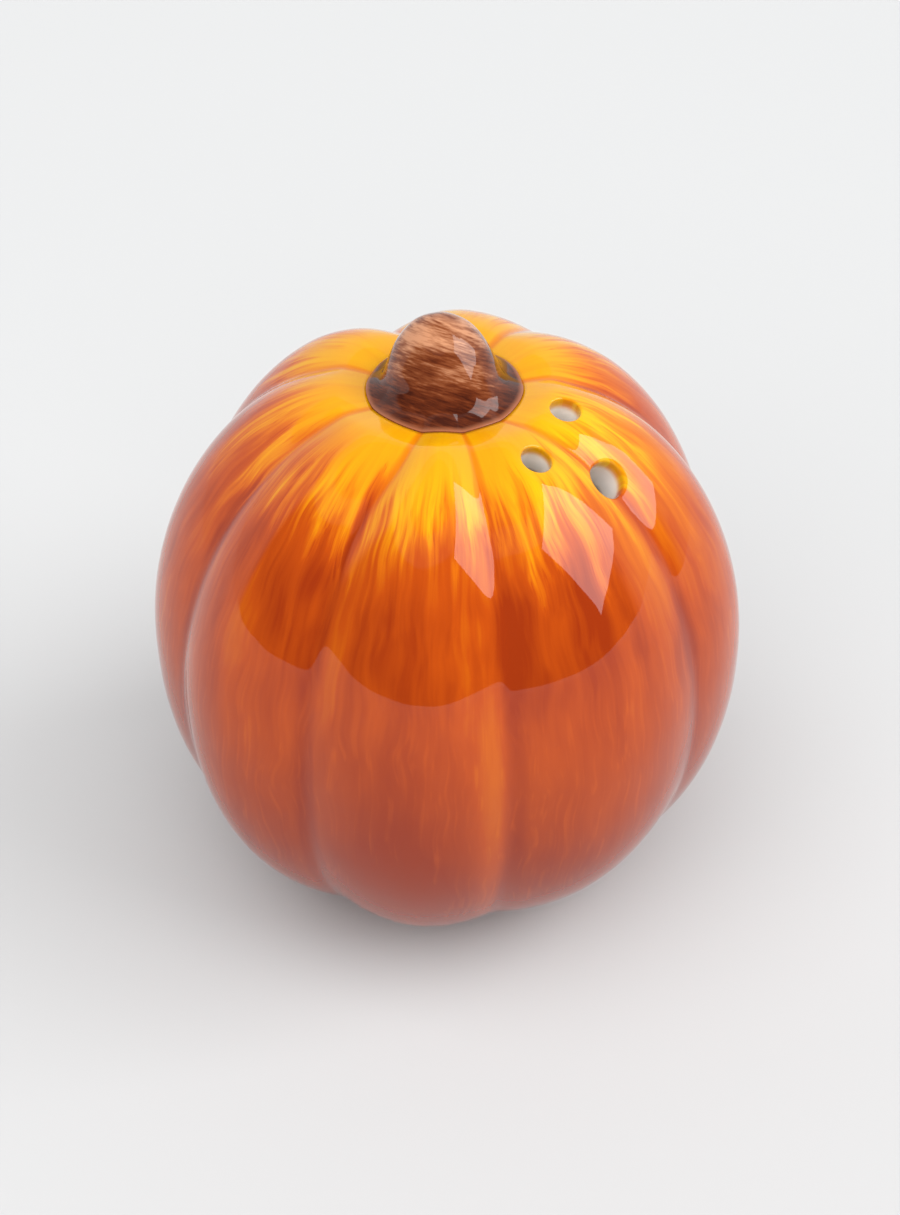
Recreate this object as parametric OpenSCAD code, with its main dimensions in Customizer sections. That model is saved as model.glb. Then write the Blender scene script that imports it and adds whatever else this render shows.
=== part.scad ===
// Ceramic pumpkin shaker: a hollow, lobed, slip-cast body with three pour
// holes in its crown, a stem luted on at the top, and a soft stopper that
// closes the fill hole under the foot. It stands on z = 0, with its axis on Z.
// All sizes are millimetres.

/* [Body] */
// Radius of the belly, over the lobes
belly_r = 36; // [34:0.5:40]
// Height of the belly's widest line above the foot
belly_z = 34.6; // [32:0.1:38]
// Rise of the lobes from the widest line to their tops
crown_h = 34.9; // [32:0.1:38]
// Radius at which the crown turns down into the dish around the stem
dish_r = 12.5; // [12:0.1:14]
// Depth of that dish on the axis
dish_depth = 2.0; // [1:0.1:3]
// Thickness of the cast wall
wall = 4.0; // [3:0.1:4.4]

/* [Lobes] */
// Depth of an average groove at the belly
groove_depth = 2.0; // [1:0.1:2.6]
// Sharpness of the grooves, from wide valleys to narrow ones
groove_sharpness = 2.0; // [1.6:0.1:3]
// Swing in degrees of the bent groove where it nears the stem
groove_sway = 12; // [0:1:14]

/* [Foot and fill hole] */
// Outer radius of the flat foot ring
foot_r = 15.2; // [15:0.1:17]
// Height of the foot ring below the lobes
foot_h = 0.7; // [0.4:0.1:1.2]
// Radius of the recess inside the foot ring
recess_r = 11.5; // [11:0.1:12]
// Depth of the recess
recess_depth = 4.0; // [3.6:0.1:5]
// Radius of the fill hole
fill_r = 8.0; // [6:0.1:8.5]

/* [Pour holes] */
// Radius of the two round pour holes
pour_r = 1.75; // [1.2:0.05:2.2]
// Radius of the third one, which the tool widened
wide_pour_r = 2.15; // [1.6:0.05:2.6]

/* [Stem] */
// Radius of the flared skirt that sits on the crown
skirt_r = 9.0; // [8:0.1:10]
// Extra radius that the skirt adds to the stem's shoulder
skirt_flare = 2.4; // [1:0.1:3]
// Height of the stem's tip above the foot
stem_tip_z = 77.9; // [76:0.1:84]
// Sideways lean of the tip, as X and Y
stem_lean = [-0.6, 0.2];

/* [Stopper] */
// Radial gap between the stopper's ribs and the fill hole
stopper_gap = 0.05; // [0.02:0.01:0.1]
// Radius of the flange that covers the hole's edge
flange_r = 10.2; // [9.5:0.1:10.6]
// Thickness of the flange
flange_h = 1.7; // [1.2:0.1:2]
// Length of the barrel inside the hole
barrel_h = 8.0; // [6:0.1:9]

/* [Hidden] */

// Azimuth of each groove, from +X towards +Y. Hand modelling left the lobes
// uneven, so widths, depths and swells all differ a little.
groove_az = [-155, -118, -77, -32, 11, 58, 110, 159];
groove_scale = [1.0, 1.0, 0.9, 0.8, 1.15, 0.65, 1.3, 0.95];
lobe_swell = [-0.4, 0.0, -0.6, 0.1, 0.0, 0.1, 0.0, -0.4];
lobes = len(groove_az);
// Grooves that bend near the stem: index, swing in degrees, the share of the
// belly's radius over which the bend dies out, and how suddenly it does.
bends = [[1, groove_sway, 0.55, 4], [3, -20, 0.4, 2]];
// Radii between which the grooves rise from nothing, around the stem.
collar = [5, 17];

// Pour holes: azimuth, angle up the crown's meridian, and radius. The drill's
// length takes it well past both faces of the wall.
pour_holes = [[-19.3, 83.3, pour_r], [-51.8, 77, pour_r], [-32.4, 61.5, wide_pour_r]];
pour_drill = 14;

// Shape of the meridian: exponents for its radius, its crown and its base.
radius_power = 1.18;
crown_power = 1.0;
base_power = 0.87;
dish_power = 1.5;
// Steps along the curves over which their normals are measured.
angle_step = 0.5;
dish_step = 0.02;
// How fast the grooves fade towards the stem and towards the foot.
crown_fade = 0.32;
base_fade = 0.45;

// Facets: around the outside and the cavity, and up each of them.
skin_n = 104;
cavity_n = 56;
crown_steps = 13;
base_steps = 12;
dish_steps = 3;
// Share of the dish that its rings cover, and radius of the flat ends of the
// lofted solids. The stem's pocket and the fill hole cut both away.
dish_reach = 0.45;
end_r = 4;

// The stem's seat is a flat pocket, backed inside by a boss.
seat_drop = 0.5;
seat_z = belly_z + crown_h - dish_depth - seat_drop;
seat_gap = 0.04;
seat_boss_r = skirt_r + wall / 2;
stem_n = 56;
stem_steps = 16;
stem_power = 1.9;
skirt_fade = 0.1;
lean_power = 0.7;
tip_r = 0.8;

// How far the foot ring runs up into the lobes above it.
foot_root = 1.5;
recess_boss_r = recess_r + wall;
// How far the fill hole's cutter runs into the chamber.
fill_overrun = 1;
flange_gap = 0.1;
flange_z = recess_depth - flange_gap - flange_h;
first_rib = 0.3;
rib_h = 0.8;
rib_pitch = 1.3;
barrel_inset = 0.5;
barrel_wall = 1.6;
tab_l = 9;
tab_w = 2.2;
tab_h = 1.3;

round_fn = 96;
eps = 0.01;

// --- the pumpkin's skin ---

// Meridian point [r, z] at angle t, from -90 at the foot to 90 at the dish.
function meridian(t) = [
    dish_r + (belly_r - dish_r) * pow(cos(t), radius_power),
    t >= 0 ? belly_z + crown_h * pow(sin(t), crown_power)
           : belly_z - (belly_z - foot_h) * pow(-sin(t), base_power)
];

// Dish point at fraction s of its radius.
function dish(s) = [
    dish_r * s,
    belly_z + crown_h - dish_depth * pow(1 - s * s, dish_power)
];

// Outward normal of the curve through points a and b, which runs foot to dish.
function normal(a, b) = let (d = b - a) [d.y, -d.x] / norm(d);

function meridian_normal(t) =
    normal(meridian(max(t - angle_step, -90)), meridian(min(t + angle_step, 90)));

function dish_normal(s) = normal(dish(min(s + dish_step, 1)), dish(s - dish_step));

// Azimuth of groove i at radius r, with the bends near the stem.
function groove_at(i, r) =
    groove_az[i] + sum([for (b = bends) b[0] == i ? b[1] * exp(-pow(r / belly_r / b[2], b[3])) : 0]);

function sum(list) = list * [for (v = list) 1];

// 0 at the stem and 1 outside the collar, with a smooth step between.
function collar_fade(r) =
    let (x = max(0, min((r - collar[0]) / (collar[1] - collar[0]), 1))) x * x * (3 - 2 * x);

// Index of the lobe that holds azimuth az, in [groove 0, groove 0 + 360).
function lobe_of(az, r) =
    max([for (i = [0 : lobes - 1]) az >= groove_at(i, r) ? i : 0]);

// How far out from the meridian the skin lies at [r, z] and azimuth az.
function relief(r, z, az) =
    let (
        turn = az < groove_az[0] ? az + 360 : az,
        i = lobe_of(turn, r),
        next = (i + 1) % lobes,
        from = groove_at(i, r),
        to = groove_at(next, r) + (next == 0 ? 360 : 0),
        u = (turn - from) / (to - from),
        valley = pow(abs(2 * u - 1), groove_sharpness),
        depth = groove_depth * groove_scale[u < 0.5 ? i : next],
        fade = z > belly_z
            ? pow(min(r / belly_r, 1), crown_fade) * collar_fade(r)
            : pow(max(0, min((r - foot_r) / (belly_r - foot_r), 1)), base_fade)
    )
    fade * (lobe_swell[i] * (1 - valley) - depth * valley);

// Point on the skin, or inset from it, above curve point p with normal n.
function skin_point(p, n, az, inset) =
    let (q = p + n * (relief(p.x, p.y, az) - inset)) [q.x * cos(az), q.x * sin(az), q.y];

function azimuths(count) = [for (i = [0 : count - 1]) groove_az[0] + i * 360 / count];

// A level ring, for the flat ends of a lofted solid.
function level_ring(r, z, count) = [for (az = azimuths(count)) [r * cos(az), r * sin(az), z]];

// All rings of the skin, from the foot up and over into the dish.
function skin_rings(count, inset) = concat(
    [level_ring(end_r, foot_h + inset, count)],
    [for (k = [0 : base_steps + crown_steps])
        let (t = k < base_steps ? -90 * (1 - k / base_steps) : 90 * (k - base_steps) / crown_steps)
        [for (az = azimuths(count)) skin_point(meridian(t), meridian_normal(t), az, inset)]],
    [for (k = [1 : dish_steps])
        let (s = 1 - dish_reach * k / dish_steps)
        [for (az = azimuths(count)) skin_point(dish(s), dish_normal(s), az, inset)]],
    [level_ring(end_r, dish(0).y - inset, count)]
);

// Solid lofted through rings of equal length, each counter-clockwise from above.
module loft(rings) {
    n = len(rings[0]);
    last = len(rings) - 1;
    polyhedron(
        points = [for (ring = rings) each ring],
        faces = concat(
            [[for (i = [0 : n - 1]) i]],
            [for (j = [0 : last - 1]) for (i = [0 : n - 1])
                [j * n + i, (j + 1) * n + i, (j + 1) * n + (i + 1) % n]],
            [for (j = [0 : last - 1]) for (i = [0 : n - 1])
                [j * n + i, (j + 1) * n + (i + 1) % n, j * n + (i + 1) % n]],
            [[for (i = [n - 1 : -1 : 0]) last * n + i]]
        )
    );
}

// --- sub-parts ---

module pour_hole(az, t, r) {
    p = meridian(t);
    n = meridian_normal(t);
    rotate([0, 0, az])
        translate([p.x, 0, p.y])
            rotate([0, atan2(n.x, n.y), 0])
                cylinder(h = pour_drill, r = r, center = true, $fn = round_fn);
}

// The chamber, less the bosses that back the recess and the stem's seat.
module chamber() {
    difference() {
        loft(skin_rings(cavity_n, wall));
        cylinder(h = recess_depth + wall, r = recess_boss_r, $fn = round_fn);
        translate([0, 0, seat_z - wall])
            cylinder(h = belly_r, r = seat_boss_r, $fn = round_fn);
    }
}

module body() {
    color("darkorange")
    difference() {
        union() {
            loft(skin_rings(skin_n, 0));
            cylinder(h = foot_h + foot_root, r = foot_r, $fn = round_fn);
        }
        chamber();
        translate([0, 0, -eps])
            cylinder(h = recess_depth + eps, r = recess_r, $fn = round_fn);
        cylinder(h = recess_depth + wall + fill_overrun, r = fill_r, $fn = round_fn);
        translate([0, 0, seat_z])
            cylinder(h = belly_r, r = skirt_r + seat_gap, $fn = round_fn);
        for (hole = pour_holes)
            pour_hole(hole[0], hole[1], hole[2]);
    }
}

// Height of the skin where the skirt's edge meets it.
function skirt_edge_z(az) =
    let (s = skirt_r / dish_r) skin_point(dish(s), dish_normal(s), az, 0).z;

// Radius of the stem at fraction s of its height: a blunt dome on a flare.
function stem_radius(s) =
    (skirt_r - skirt_flare) * pow(1 - pow(s, stem_power), 1 / stem_power)
    + skirt_flare * exp(-s / skirt_fade);

function stem_ring(s) = [
    for (az = azimuths(stem_n))
        let (
            z = skirt_edge_z(az) * (1 - s) + stem_tip_z * s,
            r = stem_radius(s),
            lean = pow(s, lean_power)
        )
        [r * cos(az) + stem_lean.x * lean, r * sin(az) + stem_lean.y * lean, z]
];

// The stem's level tip, just under the top of its dome.
function stem_tip_ring() =
    [for (p = level_ring(tip_r, stem_tip_z, stem_n)) p + [stem_lean.x, stem_lean.y, 0]];

module stem() {
    color("saddlebrown")
    loft(concat(
        [level_ring(skirt_r, seat_z, stem_n)],
        [for (k = [0 : stem_steps - 1]) stem_ring(sin(90 * k / stem_steps))],
        [stem_tip_ring()]
    ));
}

// Hollow ribbed barrel and flange, turned in one piece.
module stopper_turning() {
    top = flange_z + flange_h + barrel_h;
    rib_r = fill_r - stopper_gap;
    core_r = rib_r - barrel_inset;
    difference() {
        union() {
            translate([0, 0, flange_z])
                cylinder(h = flange_h, r = flange_r, $fn = round_fn);
            translate([0, 0, flange_z])
                cylinder(h = top - flange_z, r = core_r, $fn = round_fn);
            for (z = [flange_z + flange_h + first_rib : rib_pitch : recess_depth + wall - rib_h])
                translate([0, 0, z])
                    cylinder(h = rib_h, r = rib_r, $fn = round_fn);
        }
        translate([0, 0, flange_z + flange_h])
            cylinder(h = barrel_h + eps, r = core_r - barrel_wall, $fn = round_fn);
    }
}

// Finger tab under the flange, with round ends.
module stopper_tab() {
    translate([0, 0, flange_z - tab_h]) {
        translate([-tab_l / 2, -tab_w / 2, 0])
            cube([tab_l, tab_w, tab_h + eps]);
        for (side = [-1, 1])
            translate([side * tab_l / 2, 0, 0])
                cylinder(h = tab_h + eps, r = tab_w / 2, $fn = round_fn);
    }
}

module stopper() {
    color("ivory")
    union() {
        stopper_turning();
        stopper_tab();
    }
}

body();
stem();
stopper();
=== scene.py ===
"""Ceramic pumpkin shaker: the glazed body, the stem and the stopper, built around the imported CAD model.

Shapes are worked out in millimetres, as in the CAD source, and become metres when a mesh is made.
"""
import math

import bpy
import numpy as np
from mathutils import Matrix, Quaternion, Vector, geometry, noise


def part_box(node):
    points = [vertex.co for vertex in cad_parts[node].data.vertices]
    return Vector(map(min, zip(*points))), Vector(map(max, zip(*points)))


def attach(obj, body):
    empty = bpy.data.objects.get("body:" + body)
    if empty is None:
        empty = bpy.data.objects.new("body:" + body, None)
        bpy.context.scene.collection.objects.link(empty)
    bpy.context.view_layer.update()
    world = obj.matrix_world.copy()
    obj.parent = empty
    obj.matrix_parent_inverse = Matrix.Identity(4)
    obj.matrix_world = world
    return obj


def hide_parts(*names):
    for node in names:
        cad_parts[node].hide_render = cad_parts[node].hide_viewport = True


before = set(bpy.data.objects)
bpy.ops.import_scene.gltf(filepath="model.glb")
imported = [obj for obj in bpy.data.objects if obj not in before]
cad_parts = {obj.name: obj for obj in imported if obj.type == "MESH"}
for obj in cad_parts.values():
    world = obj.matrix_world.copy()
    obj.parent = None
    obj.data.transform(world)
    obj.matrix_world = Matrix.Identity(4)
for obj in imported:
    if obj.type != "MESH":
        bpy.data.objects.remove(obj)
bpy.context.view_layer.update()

MM = 0.001

# --- sizes in millimetres: the ones that the frame gives, then the skin's own ---


def node_box_mm(node):
    """Lowest and highest corners of a CAD node."""
    low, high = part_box(node)
    return [v / MM for v in low], [v / MM for v in high]


STEM_LOW, STEM_HIGH = node_box_mm("stem")
STOPPER_LOW, STOPPER_HIGH = node_box_mm("stopper")

BELLY_R = 36.0
BELLY_Z = 34.6
CROWN_H = 34.9
DISH_R = 12.5
DISH_DEPTH = 2.0
WALL = 4.0
FOOT_R = 15.2
FOOT_H = 0.7
RECESS_R = 11.5
RECESS_DEPTH = 4.0
FILL_R = 8.0
SKIRT_R = (STEM_HIGH[0] - STEM_LOW[0]) / 2
SEAT_Z = STEM_LOW[2]

# How full the profile is, and how fast the lobes fade towards the stem and the foot.
RADIUS_POWER, CROWN_POWER, BASE_POWER, DISH_POWER = 1.18, 1.0, 0.87, 1.5
CROWN_FADE, BASE_FADE = 0.32, 0.45

GROOVE_AZ = np.array([-155.0, -118.0, -77.0, -32.0, 11.0, 58.0, 110.0, 159.0])
GROOVE_SCALE = np.array([1.0, 1.0, 0.9, 0.8, 1.15, 0.65, 1.3, 0.95])
LOBE_SWELL = np.array([-0.4, 0.0, -0.6, 0.1, 0.0, 0.1, 0.0, -0.4])
GROOVE_DEPTH = 2.0
GROOVE_SHARPNESS = 2.0
GROOVE_ROUNDING = 0.07
LOBES = len(GROOVE_AZ)
# Grooves that bend near the stem: index, swing in degrees, reach as a share of the belly's radius, and power.
BENDS = [(1, 12.0, 0.55, 4), (3, -20.0, 0.4, 2)]
# Radii between which the grooves rise from nothing, around the stem.
COLLAR = (5.0, 17.0)

# Each pour hole: azimuth, angle up the crown's meridian, radius, and the roundness of its glazed rim.
POUR_HOLES = [(-19.3, 83.3, 1.75, 0.3), (-51.8, 77.0, 1.75, 0.3), (-32.4, 61.5, 2.15, 0.45)]
RIM_DIP, RIM_DIP_REACH = 0.12, 1.1
# The tool pushed some clay through, which lengthens the bore inside.
BURR, BURR_WIDTH = 1.5, 1.0
# Degrees between the points round a hole, and the room that its rings keep from the grid's points.
RING_STEP = 5
RING_CLEARANCE = 0.3

# The visual skin lies this far inside the CAD's, so that its ripples stay in the CAD's box.
SKIN_INSET = 0.04

# Columns in each lobe of the glazed skin, how far they bunch up near its grooves, and the rows' spacing.
FINE_PER_LOBE = 44
BUNCHING = 0.45
ROW_SPACING = 0.52

# The chamber's wall is coarser.
COARSE_PER_LOBE = 11
CHAMBER_ROW_SPACING = 1.7

# The part of the skin that the pour holes pierce, in profile angle and lobe coordinate, and how much wider
# it is where the mesh is coarse.
PATCH_Q = (50.0, 107.0)
PATCH_LOBES = (2.15, 3.74)
COARSE_PATCH_MARGIN = (22.0, 0.2)

# Where the skin gives way to the foot ring, and the chamber's wall to the boss and to its own top.
FOOT_Q = -80.7
CHAMBER_Q = (-77.0, 176.0)

# Hand-made unevenness: amplitude, size and seed.
BROAD_RIPPLE = (0.07, 9.0, 3.1)
FINE_RIPPLE = (0.012, 2.4, 7.7)
STEM_RIPPLE = (0.16, 3.2, 5.3)


# --- the pumpkin's skin, in profile angle q and lobe coordinate lobe ---
# q runs from -90 at the foot to 90 at the dish's edge and 180 on the axis.
# lobe runs from 0 to 8: its whole part is the lobe, and its fraction goes from groove to groove.


def profile(q):
    """Radius and height of the smooth profile at q."""
    t = np.radians(np.clip(q, -90, 90))
    rise = np.sin(t)
    belly = DISH_R + (BELLY_R - DISH_R) * np.clip(np.cos(t), 0, 1) ** RADIUS_POWER
    height = np.where(
        rise >= 0,
        BELLY_Z + CROWN_H * np.abs(rise) ** CROWN_POWER,
        BELLY_Z - (BELLY_Z - FOOT_H) * np.abs(rise) ** BASE_POWER,
    )
    s = np.clip(1 - (q - 90) / 90, 0, 1)
    dish_z = BELLY_Z + CROWN_H - DISH_DEPTH * (1 - s * s) ** DISH_POWER
    return np.where(q > 90, DISH_R * s, belly), np.where(q > 90, dish_z, height)


# The normal is measured over a wider step for an inset skin, which rounds it where the profile turns sharply.
NORMAL_STEP = 0.4
NORMAL_STEP_PER_INSET = 1.5


def profile_normal(q, step=NORMAL_STEP):
    """Outward normal of the profile, measured over a step of q to each side."""
    r0, z0 = profile(np.maximum(q - step, -90))
    r1, z1 = profile(np.minimum(q + step, 180))
    dr, dz = r1 - r0, z1 - z0
    length = np.hypot(dr, dz)
    return dz / length, -dr / length


def groove_azimuth(index, r):
    """Azimuth in degrees of groove index, counted on past a full turn, at radius r."""
    whole = index % LOBES
    turn = 360.0 * (index // LOBES)
    bend = sum(np.where(whole == i, swing * np.exp(-((r / BELLY_R / reach) ** power)), 0.0)
               for i, swing, reach, power in BENDS)
    return GROOVE_AZ[whole] + bend + turn


def lobe_parts(lobe):
    """Whole lobe number and the fraction across it."""
    whole = np.floor(lobe).astype(int)
    return whole, lobe - whole


def valley_of(u):
    """0 on a lobe's back and 1 in a groove, whose bottom is slightly rounded."""
    gap = 1 - np.abs(2 * u - 1)
    gap = np.sqrt(gap**2 + GROOVE_ROUNDING**2) - GROOVE_ROUNDING
    return np.clip(1 - gap, 0, 1) ** GROOVE_SHARPNESS


def azimuth_of(q, lobe):
    r, _ = profile(q)
    whole, u = lobe_parts(lobe)
    start, end = groove_azimuth(whole, r), groove_azimuth(whole + 1, r)
    return start + u * (end - start)


def skin(q, lobe, inset=0.0):
    """Points of the lobed skin, or inset from it."""
    q, lobe = np.broadcast_arrays(np.asarray(q, float), np.asarray(lobe, float))
    r, z = profile(q)
    nr, nz = profile_normal(q, NORMAL_STEP + NORMAL_STEP_PER_INSET * inset)
    whole, u = lobe_parts(lobe)
    valley = valley_of(u)
    index = whole % LOBES
    scale = np.where(u < 0.5, GROOVE_SCALE[index], GROOVE_SCALE[(index + 1) % LOBES])
    collar = np.clip((r - COLLAR[0]) / (COLLAR[1] - COLLAR[0]), 0, 1)
    crown = np.minimum(r / BELLY_R, 1) ** CROWN_FADE * collar * collar * (3 - 2 * collar)
    base = np.clip((r - FOOT_R) / (BELLY_R - FOOT_R), 0, 1) ** BASE_FADE
    fade = np.where(z > BELLY_Z, crown, base)
    out = fade * (LOBE_SWELL[index] * (1 - valley) - GROOVE_DEPTH * scale * valley) - inset
    az = np.radians(azimuth_of(q, lobe))
    radius = r + nr * out
    return np.stack([radius * np.cos(az), radius * np.sin(az), z + nz * out], -1)


class PourHole:
    """The frame of one pour hole: a point on its axis, the axis, and two directions across it."""

    # Past this depth along the axis, in millimetres, lies the body's far side.
    FAR_SIDE = -8

    def __init__(self, az, q, radius, rounding):
        r, z = (float(v) for v in profile(np.array(q)))
        nr, nz = (float(v) for v in profile_normal(np.array(q)))
        c, s = math.cos(math.radians(az)), math.sin(math.radians(az))
        self.az, self.q, self.radius, self.rounding = az, q, radius, rounding
        self.centre = np.array([r * c, r * s, z])
        self.axis = np.array([nr * c, nr * s, nz])
        self.across = np.array([-s, c, 0.0])
        self.uphill = np.cross(self.axis, self.across)

    def flat(self, points):
        """Coordinates of points across the axis."""
        away = points - self.centre
        return away @ self.across, away @ self.uphill

    def distance(self, points):
        """Distance of points from the axis, or infinity on the body's far side."""
        beyond = (points - self.centre) @ self.axis < self.FAR_SIDE
        return np.where(beyond, np.inf, np.hypot(*self.flat(points)))

    def sink(self, points):
        """How far the glaze sinks along the axis: a round rim in a shallow dip."""
        out = np.maximum(self.distance(points) - self.radius, 0)
        edge = self.rounding * (1 - np.sqrt(1 - (1 - np.minimum(out / self.rounding, 1)) ** 2))
        return edge + RIM_DIP * np.exp(-((out / RIM_DIP_REACH) ** 2))


HOLES = [PourHole(*values) for values in POUR_HOLES]


# How Newton's method finds places on the skin: its rounds, the steps that it measures slopes over, and its
# longest moves, in profile angle and lobe coordinate. The first guess takes the grooves' azimuths at FIRST_R.
ROUNDS = 12
SLOPE_Q, SLOPE_LOBE = 0.02, 0.0004
MOVE_Q, MOVE_LOBE = 4, 0.12
FIRST_R = 20.0


def first_lobe(az):
    """The lobe coordinate at azimuth az, near the pour holes."""
    starts = [groove_azimuth(np.array(i), np.array(FIRST_R)) for i in range(LOBES + 1)]
    whole = max(i for i in range(LOBES) if starts[i] <= az)
    return whole + (az - starts[whole]) / (starts[whole + 1] - starts[whole])


def on_skin_beside(hole, a, b, inset):
    """The skin's (q, lobe) where it lies a across and b uphill of a hole's axis."""
    target = np.stack([a, b], -1)
    q, lobe = np.full(a.shape, hole.q), np.full(a.shape, first_lobe(hole.az))

    def miss(q, lobe):
        return np.stack(hole.flat(skin(q, lobe, inset)), -1) - target

    for _ in range(ROUNDS):
        f = miss(q, lobe)
        dq = (miss(q + SLOPE_Q, lobe) - f) / SLOPE_Q
        dl = (miss(q, lobe + SLOPE_LOBE) - f) / SLOPE_LOBE
        det = dq[..., 0] * dl[..., 1] - dq[..., 1] * dl[..., 0]
        move_q = (f[..., 0] * dl[..., 1] - f[..., 1] * dl[..., 0]) / det
        move_lobe = (dq[..., 0] * f[..., 1] - dq[..., 1] * f[..., 0]) / det
        q = q - np.clip(move_q, -MOVE_Q, MOVE_Q)
        lobe = lobe - np.clip(move_lobe, -MOVE_LOBE, MOVE_LOBE)
    return q, lobe


# --- mesh building ---


class Shell:
    """A growing mesh whose vertices carry the values that the paint is worked out from."""

    FIELDS = ("flow_x", "flow_y", "flow_z", "rise", "valley", "reach", "tone", "bare")

    def __init__(self):
        self.points, self.fields, self.faces = [], [], []
        self.count = 0

    def add(self, points, fields):
        """Adds points of any array shape and returns their indices in the same shape."""
        points = np.asarray(points, float)
        shape = points.shape[:-1]
        fields = np.broadcast_to(fields, shape + (len(self.FIELDS),))
        self.points.append(points.reshape(-1, 3))
        self.fields.append(fields.reshape(-1, len(self.FIELDS)))
        n = int(np.prod(shape))
        ids = np.arange(self.count, self.count + n).reshape(shape)
        self.count += n
        return ids

    def band(self, low, high):
        """Quads between two closed rows of equal length, facing out when high lies inward or above."""
        a, b = np.roll(low, -1), np.roll(high, -1)
        self.faces.extend(zip(low.tolist(), a.tolist(), b.tolist(), high.tolist()))

    def rows(self, ids):
        for low, high in zip(ids[:-1], ids[1:]):
            self.band(low, high)

    def join_coarse(self, fine, coarse):
        """Triangles from a closed row to one with an exact fraction of its points."""
        ratio = len(fine) // len(coarse)
        fine, coarse = fine.tolist(), coarse.tolist()
        for k, c in enumerate(coarse):
            following = coarse[(k + 1) % len(coarse)]
            for m in range(ratio):
                f0, f1 = fine[k * ratio + m], fine[(k * ratio + m + 1) % len(fine)]
                self.faces.append((f1, f0, c if m < ratio // 2 else following))
            self.faces.append((c, following, fine[k * ratio + ratio // 2]))

    def cap(self, row, centre, flip=False):
        """A fan that closes a row."""
        for a, b in zip(row.tolist(), np.roll(row, -1).tolist()):
            self.faces.append((a, b, centre) if not flip else (b, a, centre))

    def make(self, name):
        mesh = bpy.data.meshes.new(name)
        points = np.concatenate(self.points) * MM
        mesh.from_pydata(points.tolist(), [], self.faces)
        fields = np.concatenate(self.fields)
        flow = mesh.attributes.new("flow", "FLOAT_VECTOR", "POINT")
        flow.data.foreach_set("vector", fields[:, :3].ravel())
        for i, field in enumerate(self.FIELDS[3:], start=3):
            layer = mesh.attributes.new(field, "FLOAT", "POINT")
            layer.data.foreach_set("value", np.ascontiguousarray(fields[:, i]))
        mesh.polygons.foreach_set("use_smooth", [True] * len(mesh.polygons))
        mesh.validate()
        mesh.update()
        piece = bpy.data.objects.new(name, mesh)
        bpy.context.scene.collection.objects.link(piece)
        return piece


# How high up each lobe the rust strokes reach, as q / 90. It runs from groove 0.
STROKE_REACH = np.array([0.76, 0.74, 0.74, 0.86, 0.82, 0.77, 0.79, 0.78])

# Where the painter went darker or lighter: lobe coordinate, q, half widths in both, and how much darker.
WASHES = [
    (0.20, 74, 0.35, 12, 0.20),
    (4.30, 68, 0.35, 14, 0.16),
    (1.50, -5, 0.30, 25, 0.12),
    (1.90, 0, 0.08, 42, -0.20),
    (0.95, 52, 0.25, 18, 0.16),
    (1.55, 48, 0.20, 16, -0.14),
    (2.25, 45, 0.22, 20, 0.14),
    (2.80, 50, 0.16, 22, -0.10),
    (3.30, 62, 0.45, 22, -0.26),
    (3.55, 30, 0.10, 25, -0.12),
    (0.30, 50, 0.20, 25, 0.10),
    (0.60, 50, 0.14, 22, -0.12),
    (7.50, 50, 0.40, 25, 0.06),
    (4.50, 60, 0.40, 20, -0.18),
]


def arc_table():
    """Arc length along the profile at steps of q, in belly radii from the belly up."""
    q = np.linspace(-90, 180, 2701)
    r, z = profile(q)
    arc = np.concatenate([[0], np.cumsum(np.hypot(np.diff(r), np.diff(z)))])
    return q, (arc - np.interp(0, q, arc)) / BELLY_R


ARC_Q, ARC_LENGTH = arc_table()


def paint_fields(q, lobe, bare=0.0):
    """The shell fields at points of the skin."""
    q, lobe, bare = np.broadcast_arrays(np.asarray(q, float), np.asarray(lobe, float), bare)
    az = np.radians(azimuth_of(q, lobe))
    whole, u = lobe_parts(lobe)
    ease = (1 - np.cos(math.pi * np.abs(u - 0.5) * 2)) / 4
    beside = np.where(u < 0.5, whole - 1, whole + 1) % LOBES
    reach = STROKE_REACH[whole % LOBES] * (1 - ease) + STROKE_REACH[beside] * ease
    arc = np.interp(q, ARC_Q, ARC_LENGTH)
    tone = np.zeros(q.shape)
    for at_lobe, at_q, half_lobe, half_q, amount in WASHES:
        aside = (lobe - at_lobe + LOBES / 2) % LOBES - LOBES / 2
        tone = tone + amount * np.exp(-((aside / half_lobe) ** 2) - ((q - at_q) / half_q) ** 2)
    return np.stack([np.cos(az), np.sin(az), arc, q / 90, valley_of(u), reach, tone, bare], -1)


def evenly_spaced_q(q0, q1, spacing, inset=0.0):
    """Values of q about spacing millimetres apart."""
    q = np.linspace(q0, q1, 2000)
    points = skin(q, 0.5, inset)
    arc = np.concatenate([[0], np.cumsum(np.linalg.norm(np.diff(points, axis=0), axis=1))])
    n = max(2, int(round(arc[-1] / spacing)) + 1)
    return np.interp(np.linspace(0, arc[-1], n), arc, q)


def lobe_columns(per_lobe):
    """Lobe coordinates once round, closer together near the grooves."""
    k = np.arange(per_lobe) / per_lobe
    bunched = 0.5 - 0.5 * np.cos(math.pi * k)
    u = (1 - BUNCHING) * k + BUNCHING * bunched
    return np.concatenate([i + u for i in range(LOBES)])


def ripple(points, amplitude, size, seed):
    """Soft hand-made unevenness from 0 to amplitude."""
    flat = points.reshape(-1, 3) / size + seed
    values = np.array([noise.noise(Vector(p)) for p in flat.tolist()])
    return (amplitude * (0.5 + 0.5 * values)).reshape(points.shape[:-1])


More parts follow.
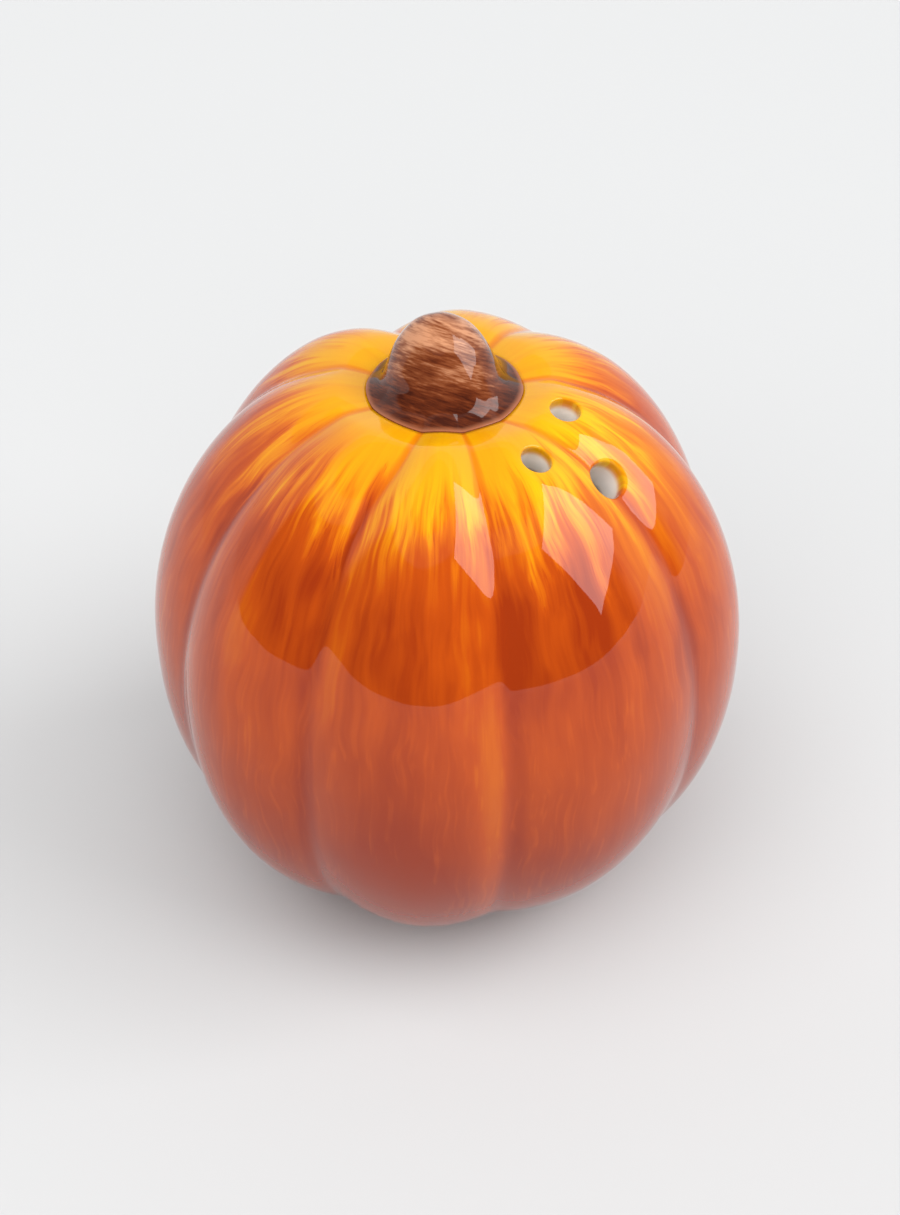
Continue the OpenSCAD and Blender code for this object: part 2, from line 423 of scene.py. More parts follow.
def uneven(points):
    """Points of the glaze, moved in by its ripples and sunk round the pour holes."""
    radial = points - np.array([0, 0, BELLY_Z])
    radial = radial / np.linalg.norm(radial, axis=-1, keepdims=True)
    moved = points - radial * (ripple(points, *BROAD_RIPPLE) + ripple(points, *FINE_RIPPLE))[..., None]
    for hole in HOLES:
        moved = moved - hole.axis * hole.sink(points)[..., None]
    return moved


def rim_rings(hole):
    """Radii of the rings round a hole's rim: close on its rounding, then wider."""
    turns = np.radians(np.linspace(0, 90, 9))
    rounded = hole.radius + hole.rounding * (1 - np.cos(turns))
    return [*rounded, *np.linspace(hole.radius + hole.rounding + 0.2, hole.radius + 2, 6)]


def mouth_rings(hole):
    """Radii of the rings round a hole's mouth in the chamber."""
    return [hole.radius, hole.radius + 0.4, hole.radius + BURR_WIDTH]


def rim_points(hole, a, b):
    """Points on the glazed skin beside a hole, with their (q, lobe)."""
    q, lobe = on_skin_beside(hole, a, b, SKIN_INSET)
    return skin(q, lobe, SKIN_INSET), q, lobe


def mouth_points(hole, a, b):
    """Points of the burr round a hole's mouth, with the mouth's (q, lobe)."""
    q, lobe = on_skin_beside(hole, np.zeros(1), np.zeros(1), SKIN_INSET)
    depth = float((skin(q, lobe, WALL)[0] - hole.centre) @ hole.axis)
    burr = BURR * np.clip(hole.radius + BURR_WIDTH - np.hypot(a, b), 0, 1)
    points = hole.centre + (depth - burr)[..., None] * hole.axis
    return points + a[..., None] * hole.across + b[..., None] * hole.uphill, q, lobe


def patch_limits(values, limits, margin):
    """First and last index of the values inside the limits, widened by the margin."""
    inside = np.where((values > limits[0] - margin) & (values < limits[1] + margin))[0]
    return inside[0], inside[-1]


def patch_outline(i0, i1, j0, j1):
    """Grid places round a patch, in order."""
    return ([(i0, j) for j in range(j0, j1)] + [(i, j1) for i in range(i0, i1)]
            + [(i1, j) for j in range(j1, j0, -1)] + [(i, j0) for i in range(i1, i0, -1)])


def grid_faces(ids, i0, i1, j0, j1):
    """Quads over a grid that closes on itself, except in a patch."""
    row, col = np.indices((len(ids) - 1, ids.shape[1]))
    outside = ~((row >= i0) & (row < i1) & (col >= j0) & (col < j1))
    beside = np.roll(ids, -1, axis=1)
    return np.stack([ids[:-1], beside[:-1], beside[1:], ids[1:]], -1)[outside].tolist()


def pierced_skin(shell, q_rows, lobe_cols, glazed):
    """Adds the glazed skin or the chamber's wall. Returns its grid, and each hole's innermost ring."""
    inset, bare, margin = (SKIN_INSET, 0.0, (0, 0)) if glazed else (WALL, 1.0, COARSE_PATCH_MARGIN)
    rings_of, points_of = (rim_rings, rim_points) if glazed else (mouth_rings, mouth_points)
    grid_q, grid_l = np.meshgrid(q_rows, lobe_cols, indexing="ij")
    grid = skin(grid_q, grid_l, inset)
    i0, i1 = patch_limits(q_rows, PATCH_Q, margin[0])
    j0, j1 = patch_limits(lobe_cols, PATCH_LOBES, margin[1])
    ids = shell.add(uneven(grid) if glazed else grid, paint_fields(grid_q, grid_l, bare))
    shell.faces.extend(map(tuple, grid_faces(ids, i0, i1, j0, j1)))

    # In the patch, the grid's points stay where they are clear of the holes, and rings go round each hole.
    clear = np.all([hole.distance(grid) > max(rings_of(hole)) + RING_CLEARANCE for hole in HOLES], axis=0)
    kept = [(i, j) for i in range(i0, i1 + 1) for j in range(j0, j1 + 1)
            if i in (i0, i1) or j in (j0, j1) or clear[i, j]]
    plane = [grid[i, j][:2] for i, j in kept]
    known = [int(ids[i, j]) for i, j in kept]
    place = {ij: k for k, ij in enumerate(kept)}
    loop = patch_outline(i0, i1, j0, j1)
    walls = [(place[a], place[b]) for a, b in zip(loop, loop[1:] + loop[:1])]
    innermost = []
    angles = np.radians(np.arange(0, 360, RING_STEP))
    for hole in HOLES:
        rho, phi = np.meshgrid(rings_of(hole), angles, indexing="ij")
        points, q, lobe = points_of(hole, rho * np.cos(phi), rho * np.sin(phi))
        ring_ids = shell.add(uneven(points) if glazed else points, paint_fields(q, lobe, bare))
        first, n = len(plane), len(angles)
        walls += [(first + k, first + (k + 1) % n) for k in range(n)]
        plane += [p[:2] for p in points.reshape(-1, 3)]
        known += ring_ids.ravel().tolist()
        innermost.append(ring_ids[0])
    shell.faces.extend(triangles_between(plane, walls, known, start=len(plane) - 1))
    return ids, innermost


def triangles_between(plane, edges, known, start):
    """Triangles over points in the plane that can be reached from point start without crossing an edge."""
    _, _, faces, origin, _, _ = geometry.delaunay_2d_cdt([Vector(p) for p in plane], edges, [], 0, 1e-6)
    index = [o[0] for o in origin]
    walls = {frozenset(e) for e in edges}
    faces = [[index[v] for v in f] for f in faces]
    sides = {}
    for n, f in enumerate(faces):
        for a, b in zip(f, f[1:] + f[:1]):
            sides.setdefault(frozenset((a, b)), []).append(n)
    reached, queue = set(), [n for n, f in enumerate(faces) if start in f][:1]
    while queue:
        n = queue.pop()
        if n in reached:
            continue
        reached.add(n)
        f = faces[n]
        for a, b in zip(f, f[1:] + f[:1]):
            side = frozenset((a, b))
            if side not in walls:
                queue.extend(sides[side])
    return [tuple(known[v] for v in faces[n]) for n in sorted(reached)]


def lathe_ring(r, z, az):
    return np.stack([r * np.cos(az), r * np.sin(az), np.full(az.shape, z)], -1)


def arc_points(centre, radius, start, end, steps=6):
    """Points [r, z] along an arc, angles in degrees."""
    return [(centre[0] + radius * math.cos(math.radians(a)), centre[1] + radius * math.sin(math.radians(a)))
            for a in np.linspace(start, end, steps)]


def foot_profile(first_z):
    """From the skin's lower edge, at first_z, round the foot ring and through the fill hole to the boss."""
    edge, ease = 0.35, 0.3
    points = [(FOOT_R + 0.02, first_z - 0.15), (FOOT_R, (first_z + edge) / 2)]
    points += arc_points((FOOT_R - edge, edge), edge, 0, -90)
    points += [((FOOT_R + RECESS_R) / 2, 0.0)]
    points += arc_points((RECESS_R + edge, edge), edge, -90, -180)
    points += [(RECESS_R, RECESS_DEPTH / 2)]
    points += arc_points((RECESS_R - ease, RECESS_DEPTH - ease), ease, 0, 90)
    points += [((RECESS_R + FILL_R) / 2, RECESS_DEPTH)]
    points += arc_points((FILL_R + ease, RECESS_DEPTH + ease), ease, -90, -180)
    points += [(FILL_R, RECESS_DEPTH + WALL / 2)]
    points += arc_points((FILL_R + ease, RECESS_DEPTH + WALL - ease), ease, 180, 90)
    return points


# The skin runs a little way under the stem's skirt, and then down into the pocket that the stem stands in.
POCKET_R = SKIRT_R - 0.12
# The boss behind the recess, the roundness of its edge, and where it meets the chamber's wall.
BOSS_R, BOSS_Z, BOSS_EDGE, BOSS_FOOT_Z = RECESS_R + WALL, RECESS_DEPTH + WALL, 0.4, 4.9
# How much barer each point of the foot's profile is than the last, and the flow's step between them.
FOOT_THINNING, FOOT_FLOW_STEP = 0.3, 0.02


def dish_q(r):
    """The profile angle at radius r in the dish."""
    return 90 + 90 * (1 - r / DISH_R)


def make_body():
    shell = Shell()
    fine, coarse = lobe_columns(FINE_PER_LOBE), lobe_columns(COARSE_PER_LOBE)
    rows = evenly_spaced_q(FOOT_Q, dish_q(POCKET_R), ROW_SPACING)
    outside, rims = pierced_skin(shell, rows, fine, glazed=True)
    add_pocket(shell, fine, outside[-1])
    boss_top = add_foot(shell, fine, outside[0])
    mouths = add_chamber(shell, coarse, boss_top)
    for rim, mouth in zip(rims, mouths):
        drill_bore(shell, rim, mouth)
    return shell.make("glazed_body")


def add_pocket(shell, lobe_cols, edge):
    """The pocket under the stem, from the skin's edge."""
    q = dish_q(POCKET_R)
    az = np.radians(azimuth_of(q, lobe_cols))
    pocket = shell.add(lathe_ring(POCKET_R, SEAT_Z, az), paint_fields(q, lobe_cols))
    shell.band(edge, pocket)
    shell.cap(pocket, int(shell.add([0, 0, SEAT_Z], paint_fields(180.0, 0.5))))


def add_foot(shell, lobe_cols, edge):
    """The foot, the recess and the fill hole, from the skin's lower edge. Returns the last ring."""
    az = np.radians(azimuth_of(FOOT_Q, lobe_cols))
    first_z = float(skin(FOOT_Q, lobe_cols, SKIN_INSET)[:, 2].min())
    last = edge
    for n, (r, z) in enumerate(foot_profile(first_z)):
        fields = paint_fields(FOOT_Q, lobe_cols, min(1.0, FOOT_THINNING * n))
        fields[:, Shell.FIELDS.index("flow_z")] -= FOOT_FLOW_STEP * (n + 1)
        ring = shell.add(lathe_ring(r, z, az), fields)
        shell.band(ring, last)
        last = ring
    return last


def add_chamber(shell, lobe_cols, boss_top):
    """The boss, and the chamber's wall up to the axis. Returns the mouths of the pour holes."""
    az = np.radians(azimuth_of(FOOT_Q, lobe_cols))
    clay = paint_fields(FOOT_Q, lobe_cols, 1.0)
    ring = shell.add(lathe_ring(BOSS_R - BOSS_EDGE, BOSS_Z, az), clay)
    shell.join_coarse(boss_top, ring)
    for z in (BOSS_Z - BOSS_EDGE, BOSS_FOOT_Z):
        last, ring = ring, shell.add(lathe_ring(BOSS_R, z, az), clay)
        shell.band(ring, last)
    first_face = len(shell.faces)
    rows = evenly_spaced_q(*CHAMBER_Q, CHAMBER_ROW_SPACING, WALL)
    inside, mouths = pierced_skin(shell, rows, lobe_cols, glazed=False)
    shell.faces[first_face:] = [face[::-1] for face in shell.faces[first_face:]]
    shell.band(inside[0], ring)
    top = shell.add([0, 0, float(profile(np.array(180.0))[1]) - WALL], paint_fields(180.0, 0.5, 1.0))
    shell.cap(inside[-1], int(top), flip=True)
    return mouths


# How the glaze runs into a bore: share of the way in, and how bare the clay is there.
GLAZE_RUN = ((0.07, 0.0), (0.14, 0.1), (0.2, 0.5), (0.26, 0.9), (0.4, 1.0), (0.7, 1.0))


def drill_bore(shell, rim, mouth):
    """The wall of a pour hole from its rim to its mouth in the chamber. The glaze runs a little way in."""
    points, fields = np.concatenate(shell.points), np.concatenate(shell.fields)
    outer, inner, paint = points[rim], points[mouth], fields[rim]
    last = rim
    for share, bare in GLAZE_RUN:
        values = paint.copy()
        values[:, Shell.FIELDS.index("bare")] = bare
        ring = shell.add(outer + share * (inner - outer), values)
        shell.band(last, ring)
        last = ring
    shell.band(last, mouth)


# --- the stem ---

STEM_POWER = 1.9
STEM_LEAN = (-0.6, 0.2)
SKIRT_FLARE = 2.4
SKIRT_FADE = 0.1
LEAN_POWER = 0.7
# The skirt's lip overlaps the body's glaze a little, and its edge is round.
LIP_OVERLAP = 0.12
LIP_ROUNDING = 0.2
STEM_PER_LOBE = 22
# Shares of the stem's height: its hidden edge, the lip, and the rings above, closer together near the tip.
EDGE_SHARE = -0.06
LIP_SHARES = np.linspace(0, 0.03, 9)[:-1]
DOME_SHARES = np.sin(np.radians(np.linspace(2.3, 88.5, 90)))
# The tip lies this far under the dome's top, and the ripple grows to its full depth over this share.
TIP_DROP = 0.05
RIPPLE_SHARE = 1 / 8


def stem_radius(share):
    """Radius of the dome and its flared skirt at a share of the height."""
    up = max(share, 0)
    edge = 1 - min(up * (STEM_HIGH[2] - SEAT_Z) / LIP_ROUNDING, 1)
    rounding = LIP_ROUNDING * (1 - math.sqrt(1 - edge**2))
    dome = (SKIRT_R - SKIRT_FLARE) * (1 - up**STEM_POWER) ** (1 / STEM_POWER)
    return dome + SKIRT_FLARE * math.exp(-up / SKIRT_FADE) + LIP_OVERLAP - rounding


def stem_ring(share, az, edge_z):
    """Points of the stem at a share of its height above the skirt's edge."""
    up = max(share, 0)
    axis = np.array([*(v * up**LEAN_POWER for v in STEM_LEAN), SEAT_Z])
    r = stem_radius(share)
    z = edge_z * (1 - share) + STEM_HIGH[2] * share
    points = np.stack([r * np.cos(az) + axis[0], r * np.sin(az) + axis[1], z], -1)
    inward = points - axis
    inward /= np.linalg.norm(inward, axis=-1, keepdims=True)
    return points - inward * (ripple(points, *STEM_RIPPLE) * min(1, up / RIPPLE_SHARE))[:, None]


def stem_fields(points, share):
    """The shell fields at points of the stem, whose flow is their place in skirt radii."""
    fields = np.zeros((len(points), len(Shell.FIELDS)))
    fields[:, :3] = (points - [0, 0, SEAT_Z]) / SKIRT_R
    fields[:, Shell.FIELDS.index("rise")] = share
    return fields


def make_stem():
    shell = Shell()
    lobe_cols = lobe_columns(STEM_PER_LOBE)
    edge_z = skin(dish_q(SKIRT_R), lobe_cols)[:, 2]
    az = np.radians(azimuth_of(dish_q(SKIRT_R), lobe_cols))
    rings = []
    for share in (EDGE_SHARE, *LIP_SHARES, *DOME_SHARES):
        points = stem_ring(share, az, edge_z)
        rings.append(shell.add(points, stem_fields(points, share)))
    shell.rows(rings)
    underside_z = stem_ring(EDGE_SHARE, az, edge_z)[:, 2].mean()
    shell.cap(rings[0], int(shell.add([0, 0, underside_z], 0.0)), flip=True)
    tip = np.array([[*STEM_LEAN, STEM_HIGH[2] - TIP_DROP]])
    shell.cap(rings[-1], int(shell.add(tip, stem_fields(tip, 1.0))[0]))
    return shell.make("brown_stem")


# --- the stopper ---

FLANGE_R = (STOPPER_HIGH[0] - STOPPER_LOW[0]) / 2
FLANGE_H = 1.7
TAB_H = 1.3
TAB_L, TAB_W = 9.0, 2.2
RIB_R = FILL_R - 0.05
CORE_R = RIB_R - 0.5
BARREL_WALL = 1.6
RIB_Z = (4.2, 5.5, 6.8)
RIB_H = 0.8
# The ribs' sides slope by RIB_SLOPE over RIB_EDGE. The tab's root spreads by TAB_ROOT, and by TAB_SPREAD
# where it ends, TAB_SINK deep in the flange.
RIB_SLOPE, RIB_EDGE = 0.1, 0.15
TAB_ROOT, TAB_SPREAD, TAB_SINK = 0.2, 0.25, 0.3
# Roundness of the edges: flange, tab, barrel outside, barrel inside, and the cup's floor.
FLANGE_SOFT, TAB_SOFT, BARREL_SOFT, MOUTH_SOFT, CUP_SOFT = 0.45, 0.4, 0.5, 0.4, 0.6
STOPPER_STEP = 3.75


def stopper_profile():
    """The turned part, from the middle of the flange's underside round to the middle of its cup's floor."""
    flange_z = STOPPER_LOW[2] + TAB_H
    seat = flange_z + FLANGE_H
    top = STOPPER_HIGH[2]
    inner = CORE_R - BARREL_WALL
    points = [(4.0, flange_z), (7.6, flange_z)]
    points += arc_points((FLANGE_R - FLANGE_SOFT, flange_z + FLANGE_SOFT), FLANGE_SOFT, -90, 0)
    points += arc_points((FLANGE_R - FLANGE_SOFT, seat - FLANGE_SOFT), FLANGE_SOFT, 0, 90)
    points += [(CORE_R + 0.2, seat), (CORE_R, seat + 0.1)]
    for z in RIB_Z:
        slope_r = RIB_R - RIB_SLOPE
        points += [(CORE_R, z), (slope_r, z + RIB_EDGE), (RIB_R, z + RIB_H / 2)]
        points += [(slope_r, z + RIB_H - RIB_EDGE), (CORE_R, z + RIB_H)]
    points += [(CORE_R, top - 1.2)]
    points += arc_points((CORE_R - BARREL_SOFT, top - BARREL_SOFT), BARREL_SOFT, 0, 90)
    points += arc_points((inner + MOUTH_SOFT, top - MOUTH_SOFT), MOUTH_SOFT, 90, 180)
    points += [(inner, top - 3), (inner, seat + 0.8)]
    points += arc_points((inner - CUP_SOFT, seat + CUP_SOFT), CUP_SOFT, 0, -90)
    points += [(2.5, seat)]
    return points


def stadium(inset, z, count=40):
    """A level round-ended outline."""
    radius = TAB_W / 2 - inset
    half = np.linspace(-math.pi / 2, math.pi / 2, count // 2)
    right = np.stack([TAB_L / 2 + radius * np.cos(half), radius * np.sin(half)], -1)
    flat = np.concatenate([right, -right])
    return np.concatenate([flat, np.full((len(flat), 1), z)], 1)


def add_tab(shell):
    """The finger tab, from inside the flange down to its rounded edge."""
    low = STOPPER_LOW[2]
    flange_z = low + TAB_H
    steps = [(-TAB_SPREAD, flange_z + TAB_SINK), (-TAB_ROOT, flange_z), (0.0, flange_z - TAB_ROOT)]
    for a in np.radians([0, 22, 45, 68, 90]):
        steps.append((TAB_SOFT * (1 - math.cos(a)), low + TAB_SOFT * (1 - math.sin(a))))
    tab = [shell.add(stadium(inset, z), 0.0) for inset, z in steps]
    shell.rows(tab[::-1])
    shell.cap(tab[-1], int(shell.add([0, 0, low], 0.0)), flip=True)
    shell.cap(tab[0], int(shell.add([0, 0, flange_z + TAB_SINK], 0.0)))


def make_stopper():
    shell = Shell()
    az = np.radians(np.arange(0, 360, STOPPER_STEP))
    flange_z = STOPPER_LOW[2] + TAB_H
    rings = [shell.add(lathe_ring(r, z, az), 0.0) for r, z in stopper_profile()]
    shell.rows(rings)
    shell.cap(rings[0], int(shell.add([0, 0, flange_z], 0.0)), flip=True)
    shell.cap(rings[-1], int(shell.add([0, 0, flange_z + FLANGE_H], 0.0)))
    add_tab(shell)
    return shell.make("soft_stopper_plug")


# --- materials ---

GLAZE_IOR = 1.46
CLAY = (240, 236, 230)


def srgb(*values):
    """A colour given as 8-bit sRGB, as linear RGBA."""
    shares = [v / 255 for v in values]
    linear = [v / 12.92 if v <= 0.04045 else ((v + 0.055) / 1.055) ** 2.4 for v in shares]
    return (*linear, 1.0)


class Nodes:
    """Short ways to add and join shader nodes."""

    def __init__(self, tree):
        self.tree = tree
        tree.nodes.clear()

    def new(self, kind, **settings):
        node = self.tree.nodes.new(kind)
        for key, value in settings.items():
            setattr(node, key, value)
        return node

    def put(self, socket, value):
        if isinstance(value, bpy.types.NodeSocket):
            self.tree.links.new(value, socket)
        else:
            socket.default_value = value

    def math(self, operation, first, others):
        """The operation applied to the first value and each of the others in turn."""
        for other in others:
            node = self.new("ShaderNodeMath", operation=operation)
            self.put(node.inputs[0], first)
            self.put(node.inputs[1], other)
            first = node.outputs[0]
        return first

    def sum(self, first, *others):
        return self.math("ADD", first, others)

    def times(self, first, *others):
        return self.math("MULTIPLY", first, others)

    def weighted(self, *terms):
        """The sum of (value, weight) terms."""
        return self.sum(*(self.times(value, weight) for value, weight in terms))

    def centred(self, value):
        """Stretches a noise value to about -0.5 to 0.5."""
        return self.ramp(value, 0.25, 0.75, -0.5, 0.5)

    def gradient(self, value, tones):
        """Colours along a list of (position, sRGB)."""
        node = self.new("ShaderNodeValToRGB")
        stops = node.color_ramp.elements
        while len(stops) < len(tones):
            stops.new(0.5)
        for stop, (position, colour) in zip(stops, tones):
            stop.position, stop.color = position, srgb(*colour)
        self.put(node.inputs[0], value)
        return node.outputs[0]

    def ramp(self, value, low, high, to_low=0.0, to_high=1.0):
        """A smooth step from to_low at low to to_high at high."""
        node = self.new("ShaderNodeMapRange", interpolation_type="SMOOTHSTEP")
        for socket, v in zip(node.inputs, (value, low, high, to_low, to_high)):
            self.put(socket, v)
        return node.outputs[0]

    def attribute(self, name):
        node = self.new("ShaderNodeAttribute", attribute_name=name)
        return node.outputs["Vector"] if name == "flow" else node.outputs["Fac"]

    def scaled(self, vector, scale, offset=(0, 0, 0)):
        node = self.new("ShaderNodeVectorMath", operation="MULTIPLY_ADD")
        self.put(node.inputs[0], vector)
        self.put(node.inputs[1], scale)
        self.put(node.inputs[2], offset)
        return node.outputs[0]

    def noise(self, vector, detail=2.0, distortion=0.0):
        node = self.new("ShaderNodeTexNoise")
        sockets = {"Vector": vector, "Scale": 1.0, "Detail": detail, "Distortion": distortion}
        for name, value in sockets.items():
            self.put(node.inputs[name], value)
        return node.outputs[0]

    def mix(self, share, a, b):
        """Colour a, or b where share is 1."""
        node = self.new("ShaderNodeMix", data_type="RGBA")
        for index, value in ((0, share), (6, a), (7, b)):
            self.put(node.inputs[index], value)
        return node.outputs[2]

    def surface(self, **sockets):
        shader = self.new("ShaderNodeBsdfPrincipled")
        for name, value in sockets.items():
            self.put(shader.inputs[name.replace("_", " ")], value)
        out = self.new("ShaderNodeOutputMaterial")
        self.put(out.inputs[0], shader.outputs[0])

    def glazed(self, colour, glaze_roughness):
        """A matt colour under clear glaze."""
        self.surface(
            Base_Color=colour, Roughness=0.5, Specular_IOR_Level=0.0, Coat_Weight=1.0,
            Coat_Roughness=glaze_roughness, Coat_IOR=GLAZE_IOR,
        )


def new_material(name):
    material = bpy.data.materials.new(name)
    material.use_nodes = True
    return material, Nodes(material.node_tree)


def streak(n, flow, across, along, seed, detail=2.0):
    """Noise drawn out along the meridians: fine across the lobes, long down them."""
    return n.noise(n.scaled(flow, (across, across, along), (seed, seed * 0.7, seed * 1.3)), detail=detail)


# The glaze's tones, from bare gold to the deepest rust, and where its unbrushed ground lies among them.
GROUND_TONE = 0.15
GLAZE_TONES = [
    (0.00, (222, 170, 8)),
    (0.25, (214, 135, 6)),
    (0.50, (200, 98, 5)),
    (0.75, (178, 69, 4)),
    (1.00, (146, 45, 2)),
]


def wandering(n, flow):
    """The flow as the brush followed it, not quite straight."""
    node = n.new("ShaderNodeTexNoise")
    n.put(node.inputs["Vector"], n.scaled(flow, (8.0, 8.0, 6.0)))
    n.put(node.inputs["Scale"], 1.0)
    n.put(node.inputs["Detail"], 0.0)
    return n.scaled(node.outputs["Color"], (0.05, 0.05, 0.1), flow)


def glaze_material():
    """Gold under translucent rust, brushed down from the crown, with painted shade in its grooves and on its
    lower half, and clear glaze over it.
    """
    material, n = new_material("painted_glaze")
    rise, valley, reach = n.attribute("rise"), n.attribute("valley"), n.attribute("reach")
    flow = wandering(n, n.attribute("flow"))
    wide = n.centred(streak(n, flow, 4, 2.2, 1.0))
    brush = n.centred(streak(n, flow, 13, 1.6, 2.0))
    bristle = n.centred(streak(n, flow, 42, 2.2, 3.0))
    hair = streak(n, flow, 95, 4.0, 4.0, detail=1.0)
    dash = streak(n, flow, 60, 2.6, 9.0, detail=1.0)

    # The rust starts in a jagged fringe. Some way below it the colour is deeper, partly as rust and partly as
    # painted shade on the lower half, and under the belly it is darker again as painted shade.
    front = n.weighted((reach, 1.0), (brush, 0.21), (bristle, 0.1), (rise, -1.0))
    cover = n.ramp(front, -0.11, 0.21)
    deeper_rust_and_shade = n.times(cover, n.ramp(rise, 0.75, 0.45))
    # Painted shade: darker under the belly.
    low = n.ramp(rise, 0.15, -0.3)
    # Its strokes are faint near the stem and calm under the belly.
    stroke = n.weighted((brush, 0.18), (bristle, 0.12), (wide, 0.28))
    stroke = n.times(stroke, n.ramp(rise, 0.0, 0.5, 0.25, 1.0), n.ramp(rise, 0.95, 0.6, 0.2, 1.0))
    # Thin paler dashes lie low down and dark hairs in the fringe, and painted shade darkens a thin line along
    # each groove.
    dashes = n.times(n.ramp(dash, 0.5, 0.8), n.ramp(rise, 0.45, 0.1))
    hairs = n.times(n.ramp(hair, 0.58, 0.72), n.ramp(front, -0.14, 0.0), n.ramp(front, 0.22, 0.1))
    groove_shade = n.times(n.ramp(valley, 0.8, 1.0), n.ramp(rise, 0.0, 0.6, 0.12, 0.22))
    marks = n.weighted((cover, 0.42), (deeper_rust_and_shade, 0.24), (low, 0.18), (dashes, -0.1), (hairs, 0.14))
    darkness = n.sum(GROUND_TONE, marks, n.attribute("tone"), stroke, groove_shade)
    n.glazed(n.mix(n.attribute("bare"), n.gradient(darkness, GLAZE_TONES), srgb(*CLAY)), 0.03)
    return material


# The stem's tones, from its dark ground to the tan on top, and the pale pinkish brown of a painted highlight
# along its lower edge.
STEM_TONES = [
    (0.0, (62, 20, 5)),
    (0.35, (98, 42, 16)),
    (0.6, (126, 66, 35)),
    (1.0, (192, 134, 98)),
]
STEM_EDGE_HIGHLIGHT = (158, 96, 66)
# How the strokes' planes are turned from level, in radians.
STEM_SLANT = (0.5, -0.3, 0.0)


def stem_material():
    """Brown with tan strokes brushed slantwise over it, and a painted highlight along the skirt's lower edge.
    """
    material, n = new_material("stem_glaze")
    place, rise = n.attribute("flow"), n.attribute("rise")
    turned = n.new("ShaderNodeVectorRotate", rotation_type="EULER_XYZ")
    n.put(turned.inputs["Vector"], place)
    n.put(turned.inputs["Rotation"], STEM_SLANT)
    grain = turned.outputs["Vector"]
    broad = n.centred(n.noise(n.scaled(grain, (2.0, 2.0, 14.0)), detail=3.0, distortion=0.3))
    fine = n.centred(n.noise(n.scaled(grain, (6.2, 6.2, 43.4)), detail=3.0))
    blotch = n.centred(n.noise(n.scaled(place, (1.6, 1.6, 2.5), (4, 1, 2)), detail=1.0))
    light = n.weighted((n.ramp(rise, 0.0, 0.9, 0.15, 0.75), 1.0), (broad, 0.4), (fine, 0.35), (blotch, 0.4))
    # Painted highlight: the lowest rim of the skirt is mixed towards a pale pinkish brown.
    edge = n.ramp(rise, 0.04, 0.0)
    n.glazed(n.mix(edge, n.gradient(light, STEM_TONES), srgb(*STEM_EDGE_HIGHLIGHT)), 0.04)
    return material


def stopper_material():
    material, n = new_material("soft_stopper")
    where = n.new("ShaderNodeTexCoord").outputs["Object"]
    mottle = n.noise(n.scaled(where, (900, 900, 900)), detail=3.0)
    colour = n.mix(mottle, srgb(214, 208, 196), srgb(232, 228, 218))
    n.surface(Base_Color=colour, Roughness=0.5, Subsurface_Weight=0.15)
    return material


def floor_material():
    material, n = new_material("pale_floor")
    n.surface(Base_Color=FLOOR_COLOUR, Roughness=0.9, Specular_IOR_Level=0.1)
    return material


# --- the studio ---

# Metres for the floor and the lamps, millimetres for the camera.
FLOOR_HALF = 8.0
FLOOR_COLOUR = (0.541, 0.546, 0.549, 1)
CAMERA_ELEVATION = 39.5
CAMERA_DISTANCE = 268.2
CAMERA_LENS = 64.43
AIM_RIGHT, AIM_UP = 0.6, 1.48
LAMP_DISTANCE = 12.0
KEY_AZ, KEY_EL, KEY_ROLL = -12.0, 38.0, 14.0
KEY_HALF_W, KEY_HALF_H = 4.68, 4.8
KEY_RADIANCE = 3.8
# A soft fill from the front, which the glaze doesn't mirror.
FILL_AZ, FILL_EL, FILL_HALF, FILL_RADIANCE = -105.0, 56.0, 8.4, 2.6


def direction(az, el):
    az, el = math.radians(az), math.radians(el)
    return Vector((math.cos(az) * math.cos(el), math.sin(az) * math.cos(el), math.sin(el)))


def make_floor():
    mesh = bpy.data.meshes.new("floor")
    h = FLOOR_HALF
    mesh.from_pydata([(-h, -h, 0), (h, -h, 0), (h, h, 0), (-h, h, 0)], [], [(0, 1, 2, 3)])
    floor = bpy.data.objects.new("floor", mesh)
    bpy.context.scene.collection.objects.link(floor)
    floor.data.materials.append(floor_material())


def softbox(name, towards, half_width, half_height, radiance, roll=0.0):
    """A rectangular lamp that faces the object from the direction towards."""
    light = bpy.data.lights.new(name, "AREA")
    light.shape, light.size, light.size_y = "RECTANGLE", 2 * half_width, 2 * half_height
    light.energy = radiance * math.pi * light.size * light.size_y
    lamp = bpy.data.objects.new(name, light)
    lamp.location = towards * LAMP_DISTANCE
    turn = Quaternion(towards, math.radians(roll))
    lamp.rotation_euler = (turn @ (-towards).to_track_quat("-Z", "Y")).to_euler()
    bpy.context.scene.collection.objects.link(lamp)
    return lamp


def make_lamps():
    softbox("key", direction(KEY_AZ, KEY_EL), KEY_HALF_W, KEY_HALF_H, KEY_RADIANCE, KEY_ROLL)
    fill = softbox("fill", direction(FILL_AZ, FILL_EL), FILL_HALF, FILL_HALF, FILL_RADIANCE)
    fill.visible_glossy = False


# The room that the glaze mirrors: its parts' brightness, and the elevations where the upper parts start.
WALL_GREY, FRONT_GREY, UPPER_GREY, TOP_GREY = 0.75, 0.16, 0.45, 0.25
UPPER_FROM, TOP_FROM = 50.0, 63.0


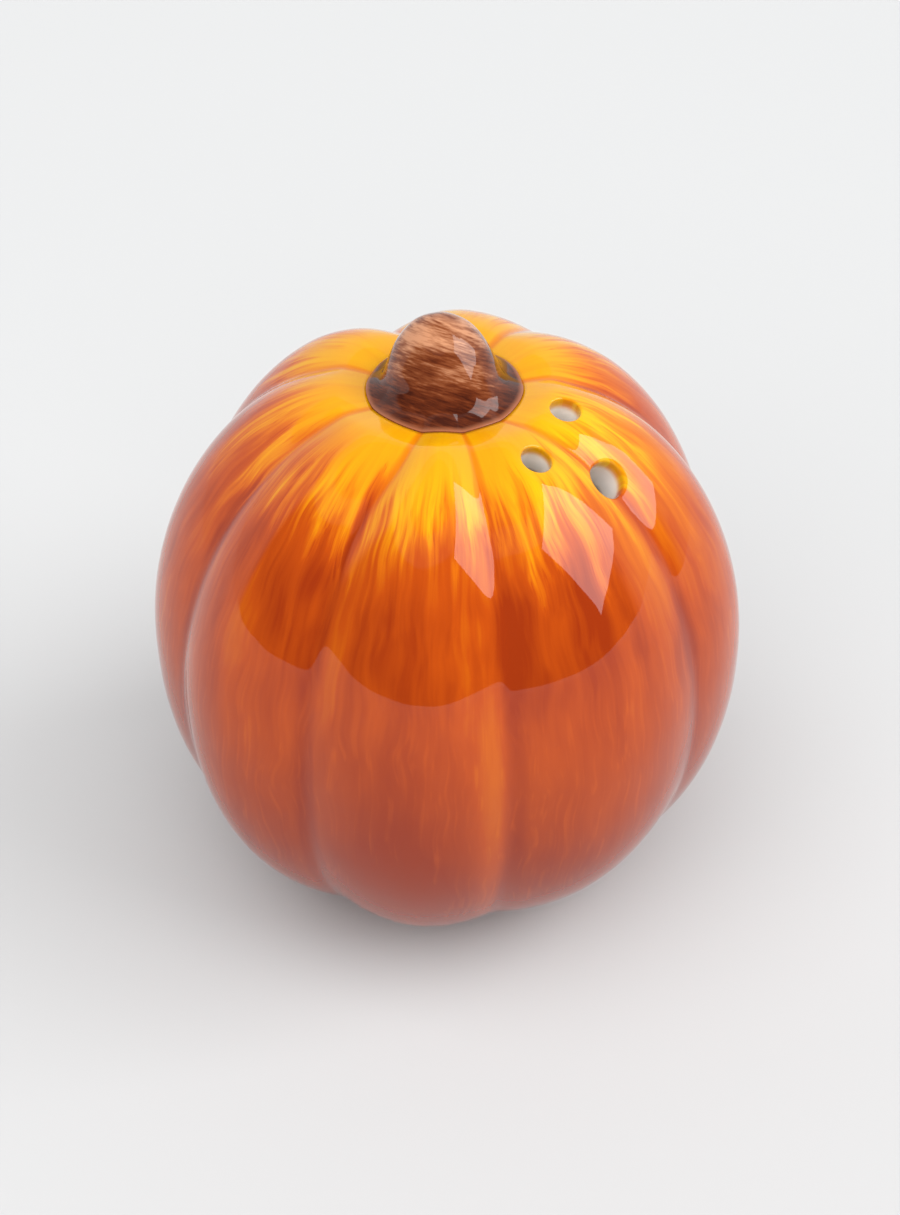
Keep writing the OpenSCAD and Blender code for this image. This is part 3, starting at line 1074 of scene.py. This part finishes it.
def make_world():
    """A pale room, dark in front and dimmer towards the top."""
    world = bpy.data.worlds.new("studio")
    world.use_nodes = True
    n = Nodes(world.node_tree)
    way = n.new("ShaderNodeTexCoord").outputs["Generated"]
    split = n.new("ShaderNodeSeparateXYZ")
    n.put(split.inputs[0], way)
    y, z = split.outputs["Y"], split.outputs["Z"]

    def above(elevation):
        return n.ramp(z, math.sin(math.radians(elevation - 1)), math.sin(math.radians(elevation + 1)))

    def grey(value):
        return (value, value, value, 1)

    room = n.mix(n.ramp(y, 0.1, -0.1), grey(WALL_GREY), grey(FRONT_GREY))
    room = n.mix(above(UPPER_FROM), room, grey(UPPER_GREY))
    room = n.mix(above(TOP_FROM), room, grey(TOP_GREY))
    background = n.new("ShaderNodeBackground")
    n.put(background.inputs[0], room)
    out = n.new("ShaderNodeOutputWorld")
    n.put(out.inputs[0], background.outputs[0])
    bpy.context.scene.world = world


def make_camera():
    towards = Vector((0, math.cos(math.radians(CAMERA_ELEVATION)), -math.sin(math.radians(CAMERA_ELEVATION))))
    right = Vector((1, 0, 0))
    up = right.cross(towards)
    centre = Vector((0, 0, BELLY_Z))
    place = centre - towards * CAMERA_DISTANCE
    target = centre + right * AIM_RIGHT + up * AIM_UP
    data = bpy.data.cameras.new("camera")
    data.lens, data.sensor_width, data.clip_start, data.clip_end = CAMERA_LENS, 36.0, 0.01, 100.0
    camera = bpy.data.objects.new("camera", data)
    camera.location = place * MM
    camera.rotation_euler = (target - place).to_track_quat("-Z", "Y").to_euler()
    bpy.context.scene.collection.objects.link(camera)
    bpy.context.scene.camera = camera


def main():
    scene = bpy.context.scene
    scene.view_settings.view_transform = "Standard"
    body, stem, stopper = make_body(), make_stem(), make_stopper()
    for piece, material, node, rides, slot in (
        (body, glaze_material(), "body", "shaker", "painted_glaze"),
        (stem, stem_material(), "stem", "shaker", "stem_glaze"),
        (stopper, stopper_material(), "stopper", "stopper", "soft_stopper"),
    ):
        piece.data.materials.append(material)
        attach(piece, rides)
        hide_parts(node)
    make_floor()
    make_world()
    make_lamps()
    make_camera()


main()
